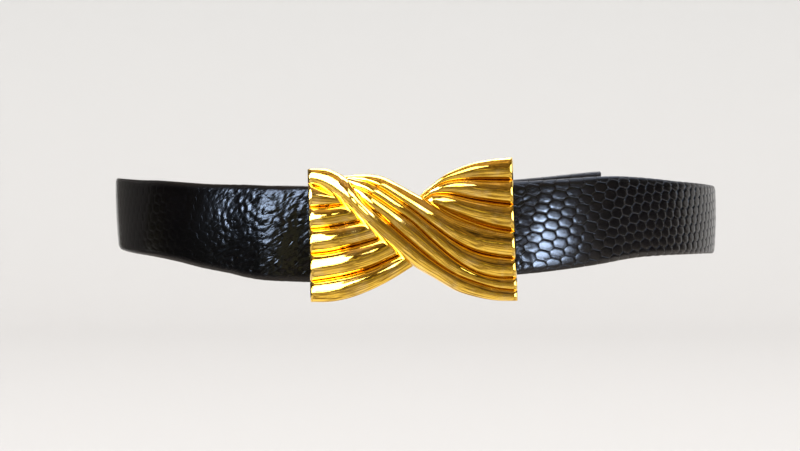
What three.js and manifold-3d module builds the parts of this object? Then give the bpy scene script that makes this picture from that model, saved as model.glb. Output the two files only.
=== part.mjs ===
// A glossy black reptile-grain leather belt, closed round a waist, with a cast gold-coloured buckle plate
// in the form of a fluted sash that is twisted over itself.
// Millimetres, +Z up. The origin is the middle of the waist, and the buckle is at the front, at -Y.
import * as THREE from "three";
import { mergeVertices } from "three/addons/utils/BufferGeometryUtils.js";
import Module from "manifold-3d";

const wasm = await Module();
wasm.setup();

// The waist: half the width and half the depth of the oval that the strap's inner face lies on.
const WAIST = { halfWidth: 119.6, halfDepth: 90.6 };

// The strap: leather turned round a thin core, so its edges are round.
const STRAP_THICK = 2.4;
const EDGE_ROUND = 1.1;
const LAYER_GAP = 0.5;
const RETURN_END = 24;
const TAIL_END = 32.3;

// The bars that the strap's two ends are folded round, and the ears that hold them.
const BAR_ANGLE = 11.8;
const BAR_RADIUS = 1.2;
const BAR_GAP = 0.3;
const BAR_PAST_EAR = 0.6;
const EAR = { thick: 2.5, round: 2.2, intoPlate: 0.8, fromStrap: 0.5 };

// The buckle plate: its middle, how many degrees it is turned and how this grows to the right, and its back.
const PLATE = { x: -1.1, z: -0.3, turn: 1.7, turnPerMm: 0.016, left: -35.35, right: 35.2 };
const BACK = { atMiddle: 99.7, bow: 0.004 };
const WALL = 1.5;
const RIDGE_RISE = 0.34;
const RIDGE_FACETS = 6;
const PLATE_STEP = 1.8;
const END_ROUND = 1.5;
const END_FACE = 0.45;
const SET_BACK = 0.06;
const HEM = 1.5;
const TWIST = { lift: 4.5, fullFrom: -12, fullTo: 8 };
const FOLD_STEP = { least: 0.15, most: 0.6, middle: -19, reach: 13 };
const HOLLOW = { from: -20, to: 20, margin: 2.2, wall: 1.4, step: 4, facets: 8 };

// How finely the strap is divided, in degrees: round its folds, where it shows at the front, and elsewhere.
const STRAP_STEP = { fold: 22.5, front: 2.4, back: 4, frontFrom: 60 };
const ROUND_SIDES = 16;

// How far apart the two places are that a slope is taken from.
const SLOPE_SPAN = 0.25;

// The fold in front: one ridge from the upper left corner to the lower right one.
// at is the distance across the plate; low and high are the heights of the fold's edges there.
const FRONT_FOLD = [
  { at: -35.35, low: 17.6, high: 22.3 },
  { at: -31.5, low: 16.2, high: 22.5 },
  { at: -28, low: 14.0, high: 22.1 },
  { at: -24.6, low: 11.2, high: 20.7 },
  { at: -22.7, low: 9.3, high: 19.6 },
  { at: -20.7, low: 7.3, high: 17.4 },
  { at: -19, low: 5.6, high: 14.9 },
  { at: -16.5, low: 3.1, high: 11.4 },
  { at: -14, low: 0.6, high: 8.9 },
  { at: -7, low: -5.8, high: 2.7 },
  { at: 0, low: -11.6, high: -3.7 },
  { at: 7, low: -16.0, high: -9.8 },
  { at: 14, low: -20.4, high: -14.6 },
  { at: 21, low: -22.9, high: -17.7 },
  { at: 28, low: -24.4, high: -20.1 },
  { at: 35.2, low: -24.9, high: -21.3 },
];

// The fold behind it: three ridges that come out from under the front fold. low is the lowest valley.
const BACK_FOLD = [
  { at: -23.5, low: 14.0, second: 16.0, third: 18.0, high: 19.4 },
  { at: -21, low: 14.6, second: 17.0, third: 19.0, high: 19.7 },
  { at: -19.5, low: 14.3, second: 16.3, third: 18.7, high: 19.9 },
  { at: -18, low: 13.1, second: 15.5, third: 18.3, high: 20.0 },
  { at: -16.5, low: 11.1, second: 14.9, third: 18.0, high: 20.1 },
  { at: -14, low: 8.8, second: 13.6, third: 17.2, high: 20.0 },
  { at: -10, low: 5.5, second: 11.0, third: 15.1, high: 19.3 },
  { at: -7, low: 2.6, second: 8.8, third: 13.1, high: 18.0 },
  { at: 0, low: -3.8, second: 3.6, third: 8.0, high: 13.9 },
  { at: 7, low: -9.9, second: -3.3, third: 2.2, high: 9.9 },
  { at: 14, low: -14.7, second: -9.5, third: -3.2, high: 6.0 },
  { at: 21, low: -17.8, second: -14.1, third: -7.1, high: 2.9 },
  { at: 28, low: -20.2, second: -16.4, third: -9.1, high: 0.5 },
  { at: 35.2, low: -21.4, second: -16.9, third: -10.3, high: -1.1 },
];

// The five ridges fanned out to the left, and where they go on hidden under the twist.
const LEFT_FAN = [
  { at: -35.35, low: -23.3, second: -16.0, third: -6.6, fourth: 1.9, fifth: 9.3, high: 17.9 },
  { at: -28, low: -23.2, second: -15.0, third: -5.9, fourth: 2.4, fifth: 9.5, high: 14.9 },
  { at: -21, low: -21.8, second: -13.7, third: -4.4, fourth: 3.5, fifth: 9.9, high: 12.2 },
  { at: -14, low: -19.2, second: -11.6, third: -2.7, fourth: 4.6, fifth: 8.0, high: 9.4 },
  { at: -7, low: -15.8, second: -8.7, third: -0.6, fourth: 4.2, fifth: 5.9, high: 7.0 },
  { at: 0, low: -11.7, second: -5.6, third: -0.6, fourth: 2.0, fifth: 3.4, high: 4.5 },
  { at: 4, low: -9.4, second: -4.4, third: -1.0, fourth: 1.0, fifth: 2.1, high: 3.0 },
];

// The three ridges fanned out to the upper right.
const RIGHT_FAN = [
  { at: 0, low: 6.0, second: 8.6, third: 9.8, high: 10.6 },
  { at: 3, low: 7.4, second: 9.9, third: 11.4, high: 12.3 },
  { at: 5, low: 7.6, second: 11.0, third: 12.9, high: 14.0 },
  { at: 7, low: 8.2, second: 12.3, third: 14.2, high: 15.6 },
  { at: 10, low: 6.8, second: 12.6, third: 15.8, high: 17.9 },
  { at: 14, low: 5.2, second: 12.2, third: 16.9, high: 20.1 },
  { at: 21, low: 2.3, second: 10.5, third: 17.2, high: 22.6 },
  { at: 28, low: 0.2, second: 9.2, third: 16.9, high: 23.8 },
  { at: 35.2, low: -1.3, second: 8.1, third: 16.5, high: 24.2 },
];

// The strap round the waist. at is the angle from the front in degrees, by way of the left and the back;
// lift is from the waist to the strap's middle layer, rise its height, lean its top outwards in degrees.
const OVER_BAR = STRAP_THICK / 2 + 2 * (BAR_RADIUS + BAR_GAP) + STRAP_THICK;
const OVER_END = STRAP_THICK * 1.5 + LAYER_GAP;
const ON_BODY = STRAP_THICK / 2;
const LOOP = [
  { at: BAR_ANGLE, lift: OVER_BAR, rise: -1.6, width: 33.4, lean: 0 },
  { at: 15, lift: 5.1, rise: -1.6, width: 33.4, lean: -0.5 },
  { at: 19, lift: 4.1, rise: -1.5, width: 33.5, lean: -2.5 },
  { at: 22, lift: OVER_END, rise: -1.4, width: 33.5, lean: -4.5 },
  { at: 25, lift: 3.9, rise: -1.3, width: 33.4, lean: -5 },
  { at: 28.5, lift: 2.7, rise: -0.9, width: 33.0, lean: -5.5 },
  { at: 33, lift: 1.5, rise: -0.2, width: 31.8, lean: -5.5 },
  { at: 39, lift: ON_BODY, rise: 0.6, width: 30.5, lean: -5.5 },
  { at: 45.5, lift: ON_BODY, rise: 1.8, width: 29.2, lean: -5.5 },
  { at: 53, lift: ON_BODY, rise: 2.7, width: 28.5, lean: -5.5 },
  { at: 60, lift: ON_BODY, rise: 3.0, width: 28.1, lean: -5 },
  { at: 70, lift: ON_BODY, rise: 3.4, width: 28.0, lean: -2 },
  { at: 80, lift: ON_BODY, rise: 3.6, width: 28.0, lean: 2 },
  { at: 92, lift: ON_BODY, rise: 3.0, width: 28.0, lean: 4 },
  { at: 115, lift: ON_BODY, rise: -0.4, width: 27.8, lean: 2 },
  { at: 145, lift: ON_BODY, rise: -5.6, width: 27.5, lean: 0 },
  { at: 180, lift: ON_BODY, rise: -7.8, width: 27.5, lean: 0 },
  { at: 215, lift: ON_BODY, rise: -6.2, width: 27.4, lean: 0 },
  { at: 250, lift: ON_BODY, rise: -2.4, width: 27.2, lean: 0 },
  { at: 270, lift: ON_BODY, rise: 0.1, width: 27.0, lean: 0 },
  { at: 290, lift: ON_BODY, rise: 1.7, width: 26.9, lean: 1 },
  { at: 306, lift: ON_BODY, rise: 2.8, width: 27.5, lean: 4 },
  { at: 316, lift: ON_BODY, rise: 3.4, width: 28.9, lean: 5 },
  { at: 321, lift: 2.0, rise: 3.4, width: 30.0, lean: 5 },
  { at: 325.5, lift: 3.6, rise: 3.1, width: 31.0, lean: 5 },
  { at: 330, lift: OVER_END, rise: 2.5, width: 31.7, lean: 5 },
  { at: 338, lift: OVER_END, rise: 1.2, width: 32.2, lean: 4 },
  { at: 341, lift: 4.1, rise: 0.8, width: 32.3, lean: 2.5 },
  { at: 345, lift: 5.1, rise: 0.4, width: 32.4, lean: 0.5 },
  { at: 360 - BAR_ANGLE, lift: OVER_BAR, rise: 0.2, width: 32.4, lean: 0 },
];

// How far the tail slips up from under the strap that covers it, by the angle from the front.
const TAIL = [
  { at: BAR_ANGLE, slip: 0 },
  { at: 16.2, slip: 0.7 },
  { at: 24, slip: 1.3 },
  { at: TAIL_END, slip: 1.8 },
];

const LEATHER = new THREE.MeshStandardMaterial({ color: "#08080a", roughness: 0.25, metalness: 0 });
const GOLD = new THREE.MeshStandardMaterial({ color: "#d9a520", roughness: 0.12, metalness: 1 });
const STEEL = new THREE.MeshStandardMaterial({ color: "#b8b4a8", roughness: 0.35, metalness: 1 });

const radians = THREE.MathUtils.degToRad;

// The value of a table's column at any place: a smooth curve through the rows.
function along(rows, column, at) {
  let i = 0;
  while (i < rows.length - 2 && rows[i + 1].at <= at) {
    i += 1;
  }
  const slope = (row) => {
    const before = rows[Math.max(row - 1, 0)];
    const after = rows[Math.min(row + 1, rows.length - 1)];
    return (after[column] - before[column]) / (after.at - before.at);
  };
  const run = rows[i + 1].at - rows[i].at;
  const t = (at - rows[i].at) / run;
  const bend = run * t * (1 - t) * (slope(i) * (1 - t) - slope(i + 1) * t);
  return rows[i][column] * (1 + 2 * t) * (1 - t) ** 2 + rows[i + 1][column] * (3 - 2 * t) * t ** 2 + bend;
}

// Values from one number to another, about a step apart.
function spread(from, to, step) {
  const count = Math.max(1, Math.round(Math.abs(to - from) / step));
  return Array.from({ length: count + 1 }, (_, i) => from + ((to - from) * i) / count);
}

// A closed solid skinned over flat outlines of equal count, each set in space by its own matrix.
function loft(outlines, placements) {
  const count = outlines[0].length;
  const points = outlines.flatMap((outline, i) =>
    outline.map((p) => new THREE.Vector3(p.x, p.y, 0).applyMatrix4(placements[i])),
  );
  const faces = [];
  for (let ring = 0; ring + 1 < outlines.length; ring++) {
    for (let j = 0; j < count; j++) {
      const a = ring * count + j;
      const b = ring * count + ((j + 1) % count);
      faces.push(a, b, b + count, a, b + count, a + count);
    }
  }
  const last = (outlines.length - 1) * count;
  for (const [a, b, c] of THREE.ShapeUtils.triangulateShape(outlines[0], [])) {
    faces.push(a, c, b);
  }
  for (const [a, b, c] of THREE.ShapeUtils.triangulateShape(outlines.at(-1), [])) {
    faces.push(last + a, last + b, last + c);
  }
  const geometry = new THREE.BufferGeometry().setFromPoints(points);
  geometry.setIndex(faces);
  return geometry;
}

// A closed geometry as a solid for joining and cutting, and back.
function toSolid(geometry) {
  const bare = geometry.clone();
  bare.deleteAttribute("normal");
  bare.deleteAttribute("uv");
  const merged = mergeVertices(bare);
  return new wasm.Manifold(
    new wasm.Mesh({
      numProp: 3,
      vertProperties: merged.attributes.position.array,
      triVerts: new Uint32Array(merged.index.array),
    }),
  );
}

function toGeometry(solid) {
  const { vertProperties, triVerts } = solid.getMesh();
  const geometry = new THREE.BufferGeometry();
  geometry.setAttribute("position", new THREE.BufferAttribute(vertProperties, 3));
  geometry.setIndex(new THREE.BufferAttribute(triVerts, 1));
  geometry.computeVertexNormals();
  return geometry;
}

// A point of the waist oval in plan, at an angle from the front towards +X, moved outwards by lift.
function waistNormal(angle) {
  const x = WAIST.halfDepth * Math.sin(radians(angle));
  const y = -WAIST.halfWidth * Math.cos(radians(angle));
  return new THREE.Vector2(x, y).normalize();
}

function waistPoint(angle, lift) {
  const x = WAIST.halfWidth * Math.sin(radians(angle));
  const y = -WAIST.halfDepth * Math.cos(radians(angle));
  return new THREE.Vector2(x, y).addScaledVector(waistNormal(angle), lift);
}

// The plate's back, how far it swells at the twist, and how its ends round off.
const backAt = (u) => BACK.atMiddle - BACK.bow * u * u;

function swell(u) {
  const left = THREE.MathUtils.smoothstep(u, PLATE.left, TWIST.fullFrom);
  const right = 1 - THREE.MathUtils.smoothstep(u, TWIST.fullTo, PLATE.right);
  return TWIST.lift * left * right;
}

function endFactor(u) {
  const toEnd = Math.min(u - PLATE.left, PLATE.right - u);
  const into = THREE.MathUtils.clamp(1 - toEnd / END_ROUND, 0, 1);
  return END_FACE + (1 - END_FACE) * Math.sqrt(1 - into * into);
}

// The swell at a point of the twist: a dome from its lower edge to its upper one.
function domeAt(u, v) {
  const low = along(FRONT_FOLD, "low", u);
  const high = along(u < BACK_FOLD[0].at ? FRONT_FOLD : BACK_FOLD, "high", u);
  const across = THREE.MathUtils.clamp((2 * (v - low)) / (high - low) - 1, -1, 1);
  return swell(u) * Math.sqrt(1 - across * across);
}

const noSwell = () => 0;

// One fluted sheet of the plate, down to the plate's back: half-round ridges between the table's lines,
// with a plain hem below the lowest line where another sheet covers it.
function flutedSheet(rows, lines, places, bedAt, hem = 0) {
  const outlines = places.map((u) => {
    const heights = lines.map((line) => along(rows, line, u));
    const bottom = heights[0] - hem;
    const surface = hem
      ? [new THREE.Vector2(bottom, backAt(u) + (WALL + bedAt(u, bottom)) * endFactor(u))]
      : [];
    for (let k = 0; k + 1 < lines.length; k++) {
      const middle = (place) => (along(rows, lines[k], place) + along(rows, lines[k + 1], place)) / 2;
      const slope = (middle(u + SLOPE_SPAN) - middle(u - SLOPE_SPAN)) / (2 * SLOPE_SPAN);
      const rise = (RIDGE_RISE * (heights[k + 1] - heights[k])) / Math.hypot(1, slope);
      for (let facet = k ? 1 : 0; facet <= RIDGE_FACETS; facet++) {
        const turn = (Math.PI * facet) / RIDGE_FACETS;
        const v = heights[k] + ((heights[k + 1] - heights[k]) * (1 - Math.cos(turn))) / 2;
        const depth = (WALL + bedAt(u, v) + rise * Math.sin(turn)) * endFactor(u);
        surface.push(new THREE.Vector2(v, backAt(u) + depth));
      }
    }
    const feet = [new THREE.Vector2(bottom, backAt(u)), new THREE.Vector2(heights.at(-1), backAt(u))];
    return [...feet, ...surface.reverse()];
  });
  return toSolid(loft(outlines, places.map(acrossPlate)));
}

// The matrix of a section across the plate: its outline's axes are the plate's height and its outward way.
function acrossPlate(u) {
  const turn = radians(PLATE.turn);
  const turnHere = radians(PLATE.turn + PLATE.turnPerMm * u);
  const right = new THREE.Vector3(Math.cos(turnHere), 0, Math.sin(turnHere));
  const up = new THREE.Vector3(-Math.sin(turnHere), 0, Math.cos(turnHere));
  const out = new THREE.Vector3(0, -1, 0);
  const matrix = new THREE.Matrix4().makeBasis(up, out, right);
  return matrix.setPosition(PLATE.x + u * Math.cos(turn), 0, PLATE.z + u * Math.sin(turn));
}

// Places across the plate, closer together where an end rounds off. A sheet that others lie on is set back.
function placesAcross(from, to, setBack) {
  const rounding = [0, 0.1, 0.35, 0.7].map((part) => setBack + part * END_ROUND);
  const leftEnd = from === PLATE.left ? rounding.map((part) => from + part) : [];
  const rightEnd = to === PLATE.right ? rounding.map((part) => to - part).reverse() : [];
  const first = leftEnd.length ? from + setBack + END_ROUND : from;
  const last = rightEnd.length ? to - setBack - END_ROUND : to;
  return [...leftEnd, ...spread(first, last, PLATE_STEP), ...rightEnd];
}

// How far the front fold stands over the fold behind it.
function foldStep(u) {
  const near = 1 - THREE.MathUtils.smoothstep(Math.abs(u - FOLD_STEP.middle), 0, FOLD_STEP.reach);
  return FOLD_STEP.least + (FOLD_STEP.most - FOLD_STEP.least) * near;
}

// The recess behind the twist, which keeps the casting's wall even.
function hollowBehindTwist() {
  const places = spread(HOLLOW.from, HOLLOW.to, HOLLOW.step);
  const outlines = places.map((u) => {
    const low = along(FRONT_FOLD, "low", u) + HOLLOW.margin;
    const high = along(BACK_FOLD, "high", u) - HOLLOW.margin;
    const roof = spread(high, low, (high - low) / HOLLOW.facets).map(
      (v) => new THREE.Vector2(v, backAt(u) + domeAt(u, v) + WALL - HOLLOW.wall),
    );
    const open = backAt(u) - WALL;
    return [new THREE.Vector2(low, open), new THREE.Vector2(high, open), ...roof];
  });
  return toSolid(loft(outlines, places.map(acrossPlate)));
}

// An ear behind the plate, with a round end and a hole for a bar.
function ear(bar, bottom) {
  const front = -backAt(bar.x - PLATE.x) - EAR.intoPlate;
  const outline = new THREE.Shape();
  outline.moveTo(bar.x - EAR.round, front);
  outline.lineTo(bar.x + EAR.round, front);
  outline.lineTo(bar.x + EAR.round, bar.y);
  outline.absarc(bar.x, bar.y, EAR.round, 0, Math.PI, false);
  outline.closePath();
  const hole = new THREE.Path();
  hole.absarc(bar.x, bar.y, BAR_RADIUS + BAR_GAP, 0, 2 * Math.PI, true);
  outline.holes.push(hole);
  const geometry = new THREE.ExtrudeGeometry(outline, {
    depth: EAR.thick,
    bevelEnabled: false,
    curveSegments: ROUND_SIDES / 2,
  });
  return toSolid(geometry.translate(0, 0, bottom));
}

// Each bar: its middle in plan, and the strap's edges there, which its ears stand clear of.
const BARS = [
  { name: "left_bar", angle: -BAR_ANGLE, strap: LOOP[0] },
  { name: "right_bar", angle: BAR_ANGLE, strap: LOOP.at(-1) },
].map(({ name, angle, strap }) => {
  const { x, y } = waistPoint(angle, STRAP_THICK + BAR_GAP + BAR_RADIUS);
  const reach = strap.width / 2 + EAR.fromStrap;
  return { name, angle, x, y, lowEar: strap.rise - reach - EAR.thick, highEar: strap.rise + reach };
});

function bucklePlate() {
  const bands = [
    flutedSheet(LEFT_FAN, ["low", "second", "third", "fourth", "fifth", "high"],
      placesAcross(PLATE.left, LEFT_FAN.at(-1).at, 2 * SET_BACK), noSwell),
    flutedSheet(RIGHT_FAN, ["low", "second", "third", "high"],
      placesAcross(RIGHT_FAN[0].at, PLATE.right, 2 * SET_BACK), noSwell),
    flutedSheet(BACK_FOLD, ["low", "second", "third", "high"],
      placesAcross(BACK_FOLD[0].at, PLATE.right, SET_BACK), domeAt, HEM),
    flutedSheet(FRONT_FOLD, ["low", "high"], placesAcross(PLATE.left, PLATE.right, 0),
      (u, v) => domeAt(u, v) + foldStep(u)),
  ];
  const cast = bands.reduce((whole, band) => whole.add(band)).subtract(hollowBehindTwist());
  const ears = BARS.flatMap((bar) => [ear(bar, bar.lowEar), ear(bar, bar.highEar)]);
  const geometry = toGeometry(ears.reduce((whole, one) => whole.add(one), cast));
  return named("buckle_plate", geometry, GOLD);
}

function pin(bar) {
  const bottom = bar.lowEar - BAR_PAST_EAR;
  const top = bar.highEar + EAR.thick + BAR_PAST_EAR;
  const shaft = new THREE.CylinderGeometry(BAR_RADIUS, BAR_RADIUS, top - bottom, ROUND_SIDES);
  const mesh = named(bar.name, shaft, STEEL);
  mesh.rotation.x = Math.PI / 2;
  mesh.position.set(bar.x, bar.y, (top + bottom) / 2);
  return mesh;
}

// The strap's section: x is towards its skin side, y is up.
function strapSection(width) {
  const outline = [];
  for (const end of [1, -1]) {
    for (const turn of spread(0, 180, 45)) {
      const x = (STRAP_THICK / 2) * Math.cos(radians(turn));
      const y = width / 2 - EDGE_ROUND + EDGE_ROUND * Math.sin(radians(turn));
      outline.push(new THREE.Vector2(end * x, end * y));
    }
  }
  return outline;
}

// The strap's way, from the end folded back at the left, round the waist, to the tail at the right.
function strapStretches() {
  const loopAngle = (at) => 360 - at;
  const turnRound = (bar, side) => (turn) => {
    const out = waistNormal(bar.angle).multiplyScalar(-Math.cos(radians(turn)));
    const inwards = waistNormal(bar.angle).rotateAround(new THREE.Vector2(), (side * Math.PI) / 2);
    const spoke = out.addScaledVector(inwards, Math.sin(radians(turn)));
    return new THREE.Vector2(bar.x, bar.y).addScaledVector(spoke, BAR_RADIUS + BAR_GAP + STRAP_THICK / 2);
  };
  const atBar = (row) => ({ rise: () => row.rise, width: () => row.width, lean: () => 0 });
  const [leftBar, rightBar] = BARS;
  return [
    {
      places: spread(RETURN_END, BAR_ANGLE, STRAP_STEP.front),
      plan: (at) => waistPoint(-at, ON_BODY),
      rise: (at) => along(LOOP, "rise", at),
      width: (at) => along(LOOP, "width", at),
      lean: (at) => -along(LOOP, "lean", at),
    },
    { places: spread(0, 180, STRAP_STEP.fold), plan: turnRound(leftBar, 1), ...atBar(LOOP[0]) },
    {
      places: [
        ...spread(BAR_ANGLE, STRAP_STEP.frontFrom, STRAP_STEP.front),
        ...spread(STRAP_STEP.frontFrom, 360 - STRAP_STEP.frontFrom, STRAP_STEP.back).slice(1),
        ...spread(360 - STRAP_STEP.frontFrom, 360 - BAR_ANGLE, STRAP_STEP.front).slice(1),
      ],
      plan: (at) => waistPoint(loopAngle(at), along(LOOP, "lift", at)),
      rise: (at) => along(LOOP, "rise", at),
      width: (at) => along(LOOP, "width", at),
      lean: (at) => along(LOOP, "lean", at),
    },
    { places: spread(180, 0, STRAP_STEP.fold), plan: turnRound(rightBar, -1), ...atBar(LOOP.at(-1)) },
    {
      places: spread(BAR_ANGLE, TAIL_END, STRAP_STEP.front),
      plan: (at) => waistPoint(at, ON_BODY),
      rise: (at) => along(LOOP, "rise", loopAngle(at)) + along(TAIL, "slip", at),
      width: (at) => along(LOOP, "width", loopAngle(at)),
      lean: (at) => -along(LOOP, "lean", loopAngle(at)),
    },
  ];
}

function strap() {
  const outlines = [];
  const placements = [];
  const up = new THREE.Vector3(0, 0, 1);
  for (const stretch of strapStretches()) {
    const forward = Math.sign(stretch.places.at(-1) - stretch.places[0]);
    for (const at of placements.length ? stretch.places.slice(1) : stretch.places) {
      const here = stretch.plan(at);
      const ahead = stretch.plan(at + forward * SLOPE_SPAN);
      const way = ahead.sub(stretch.plan(at - forward * SLOPE_SPAN)).normalize();
      const tangent = new THREE.Vector3(way.x, way.y, 0);
      const lean = -radians(stretch.lean(at));
      const skin = up.clone().cross(tangent).applyAxisAngle(tangent, lean);
      const across = up.clone().applyAxisAngle(tangent, lean);
      const matrix = new THREE.Matrix4().makeBasis(skin, across, tangent);
      placements.push(matrix.setPosition(here.x, here.y, stretch.rise(at)));
      outlines.push(strapSection(stretch.width(at)));
    }
  }
  return named("strap", loft(outlines, placements), LEATHER);
}

function named(name, geometry, material) {
  const mesh = new THREE.Mesh(geometry, material);
  mesh.name = name;
  return mesh;
}

const belt = new THREE.Group();
belt.add(bucklePlate(), strap(), ...BARS.map(pin));

export default belt;
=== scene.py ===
"""A glossy black scale-grain leather belt, closed as it is worn, and its polished gold-coloured buckle
plate in the form of a fluted sash twisted over itself. Metres, +Z up, the buckle at -Y."""

import math

import bmesh
import bpy
import numpy as np
from mathutils import Euler, Matrix, Vector, noise


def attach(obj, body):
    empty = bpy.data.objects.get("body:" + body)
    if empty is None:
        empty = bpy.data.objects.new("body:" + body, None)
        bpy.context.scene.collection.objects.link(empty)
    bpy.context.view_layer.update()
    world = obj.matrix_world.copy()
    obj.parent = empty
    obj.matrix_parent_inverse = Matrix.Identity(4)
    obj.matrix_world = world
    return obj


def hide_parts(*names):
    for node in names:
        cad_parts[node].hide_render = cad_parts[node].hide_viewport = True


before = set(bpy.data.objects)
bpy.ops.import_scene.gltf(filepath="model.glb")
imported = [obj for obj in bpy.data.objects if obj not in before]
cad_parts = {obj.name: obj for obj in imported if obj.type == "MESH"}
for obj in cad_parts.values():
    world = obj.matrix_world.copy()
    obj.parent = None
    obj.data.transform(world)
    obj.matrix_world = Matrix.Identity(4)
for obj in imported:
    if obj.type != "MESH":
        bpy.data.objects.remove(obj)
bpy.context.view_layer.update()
MM = 0.001
SAME_PLACE = 1e-7

# Blender's noise starts from the clock unless it is given a seed.
GRAIN_SEED = 3
noise.seed_set(GRAIN_SEED)


def table(columns, rows):
    """The columns of a table by name, each an array."""
    return dict(zip(columns.split(), np.array(rows, float).T))


# The waist's oval and the strap, in millimetres.
# Angles are in degrees from the front, by way of the left.
WAIST_HALF_WIDTH = 119.6
WAIST_HALF_DEPTH = 90.6
STRAP_THICK = 2.4
LAYER_GAP = 0.5
RETURN_END = 24
TAIL_END = 32.3

# The two bars, and the ears behind the plate that hold them.
BAR_ANGLE = 11.8
BAR_RADIUS = 1.2
BAR_GAP = 0.3
BAR_PAST_EAR = 0.6
EAR_THICK = 2.5
EAR_ROUND = 2.2
EAR_INTO_PLATE = 0.8
EAR_FROM_STRAP = 0.5
HOLE_PAST_EAR = 1

# How far the strap's middle layer lies from the waist over a bar, over a folded end and elsewhere.
OVER_BAR = STRAP_THICK / 2 + 2 * (BAR_RADIUS + BAR_GAP) + STRAP_THICK
OVER_END = STRAP_THICK * 1.5 + LAYER_GAP
ON_BODY = STRAP_THICK / 2

# The strap's way round the waist: lift is how far its middle layer lies from the waist, rise its height,
# and lean how far its top tips outwards, in degrees.
LOOP = table("at lift rise width lean", [
    (BAR_ANGLE, OVER_BAR, -1.6, 33.4, 0),
    (15, 5.1, -1.6, 33.4, -0.5),
    (19, 4.1, -1.5, 33.5, -2.5),
    (22, OVER_END, -1.4, 33.5, -4.5),
    (25, 3.9, -1.3, 33.4, -5),
    (28.5, 2.7, -0.9, 33.0, -5.5),
    (33, 1.5, -0.2, 31.8, -5.5),
    (39, ON_BODY, 0.6, 30.5, -5.5),
    (45.5, ON_BODY, 1.8, 29.2, -5.5),
    (53, ON_BODY, 2.7, 28.5, -5.5),
    (60, ON_BODY, 3.0, 28.1, -5),
    (70, ON_BODY, 3.4, 28.0, -2),
    (80, ON_BODY, 3.6, 28.0, 2),
    (92, ON_BODY, 3.0, 28.0, 4),
    (115, ON_BODY, -0.4, 27.8, 2),
    (145, ON_BODY, -5.6, 27.5, 0),
    (180, ON_BODY, -7.8, 27.5, 0),
    (215, ON_BODY, -6.2, 27.4, 0),
    (250, ON_BODY, -2.4, 27.2, 0),
    (270, ON_BODY, 0.1, 27.0, 0),
    (290, ON_BODY, 1.7, 26.9, 1),
    (306, ON_BODY, 2.8, 27.5, 4),
    (316, ON_BODY, 3.4, 28.9, 5),
    (321, 2.0, 3.4, 30.0, 5),
    (325.5, 3.6, 3.1, 31.0, 5),
    (330, OVER_END, 2.5, 31.7, 5),
    (338, OVER_END, 1.2, 32.2, 4),
    (341, 4.1, 0.8, 32.3, 2.5),
    (345, 5.1, 0.4, 32.4, 0.5),
    (360 - BAR_ANGLE, OVER_BAR, 0.2, 32.4, 0),
])
TAIL = table("at slip", [(BAR_ANGLE, 0), (16.2, 0.7), (24, 1.3), (TAIL_END, 1.8)])

# The buckle plate, in millimetres.
PLATE_X = -1.1
PLATE_Z = -0.3
PLATE_TURN = 1.7
TURN_PER_MM = 0.016
PLATE_LEFT = -35.35
PLATE_RIGHT = 35.2
BACK_AT_MIDDLE = 99.7
BACK_BOW = 0.004
WALL = 1.5
RIDGE_RISE = 0.42
END_ROUND = 1.5
END_FACE = 0.45
SET_BACK = 0.06
HEM = 1.5
TWIST_LIFT = 4.5
TWIST_FROM = -12
TWIST_TO = 8
FOLD_STEP = 0.15
FOLD_STEP_MORE = 0.45
FOLD_STEP_AT = -19
FOLD_STEP_REACH = 13
FAN_DIVE = 0.85
DIVE_REACH = 13

# The lines between each fold's ridges: at is the distance across the plate, the rest are heights there.
FRONT_FOLD = table("at low high", [
    (-35.35, 17.6, 22.3), (-31.5, 16.2, 22.5), (-28, 14.0, 22.1), (-24.6, 11.2, 20.7),
    (-22.7, 9.3, 19.6), (-20.7, 7.3, 17.4), (-19, 5.6, 14.9), (-16.5, 3.1, 11.4),
    (-14, 0.6, 8.9), (-7, -5.8, 2.7), (0, -11.6, -3.7), (7, -16.0, -9.8),
    (14, -20.4, -14.6), (21, -22.9, -17.7), (28, -24.4, -20.1), (35.2, -24.9, -21.3),
])
BACK_FOLD = table("at low second third high", [
    (-23.5, 14.0, 16.0, 18.0, 19.4), (-21, 14.6, 17.0, 19.0, 19.7), (-19.5, 14.3, 16.3, 18.7, 19.9),
    (-18, 13.1, 15.5, 18.3, 20.0), (-16.5, 11.1, 14.9, 18.0, 20.1), (-14, 8.8, 13.6, 17.2, 20.0),
    (-10, 5.5, 11.0, 15.1, 19.3), (-7, 2.6, 8.8, 13.1, 18.0), (0, -3.8, 3.6, 8.0, 13.9),
    (7, -9.9, -3.3, 2.2, 9.9), (14, -14.7, -9.5, -3.2, 6.0), (21, -17.8, -14.1, -7.1, 2.9),
    (28, -20.2, -16.4, -9.1, 0.5), (35.2, -21.4, -16.9, -10.3, -1.1),
])
LEFT_FAN = table("at low second third fourth fifth high", [
    (-35.35, -23.3, -16.0, -6.6, 1.9, 9.3, 17.9), (-28, -23.2, -15.0, -5.9, 2.4, 9.5, 14.9),
    (-21, -21.8, -13.7, -4.4, 3.5, 9.9, 12.2), (-14, -19.2, -11.6, -2.7, 4.6, 8.0, 9.4),
    (-7, -15.8, -8.7, -0.6, 4.2, 5.9, 7.0), (0, -11.7, -5.6, -0.6, 2.0, 3.4, 4.5),
    (4, -9.4, -4.4, -1.0, 1.0, 2.1, 3.0),
])
RIGHT_FAN = table("at low second third high", [
    (0, 6.0, 8.6, 9.8, 10.6), (3, 7.4, 9.9, 11.4, 12.3), (5, 7.6, 11.0, 12.9, 14.0),
    (7, 8.2, 12.3, 14.2, 15.6), (10, 6.8, 12.6, 15.8, 17.9), (14, 5.2, 12.2, 16.9, 20.1),
    (21, 2.3, 10.5, 17.2, 22.6), (28, 0.2, 9.2, 16.9, 23.8), (35.2, -1.3, 8.1, 16.5, 24.2),
])


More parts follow.
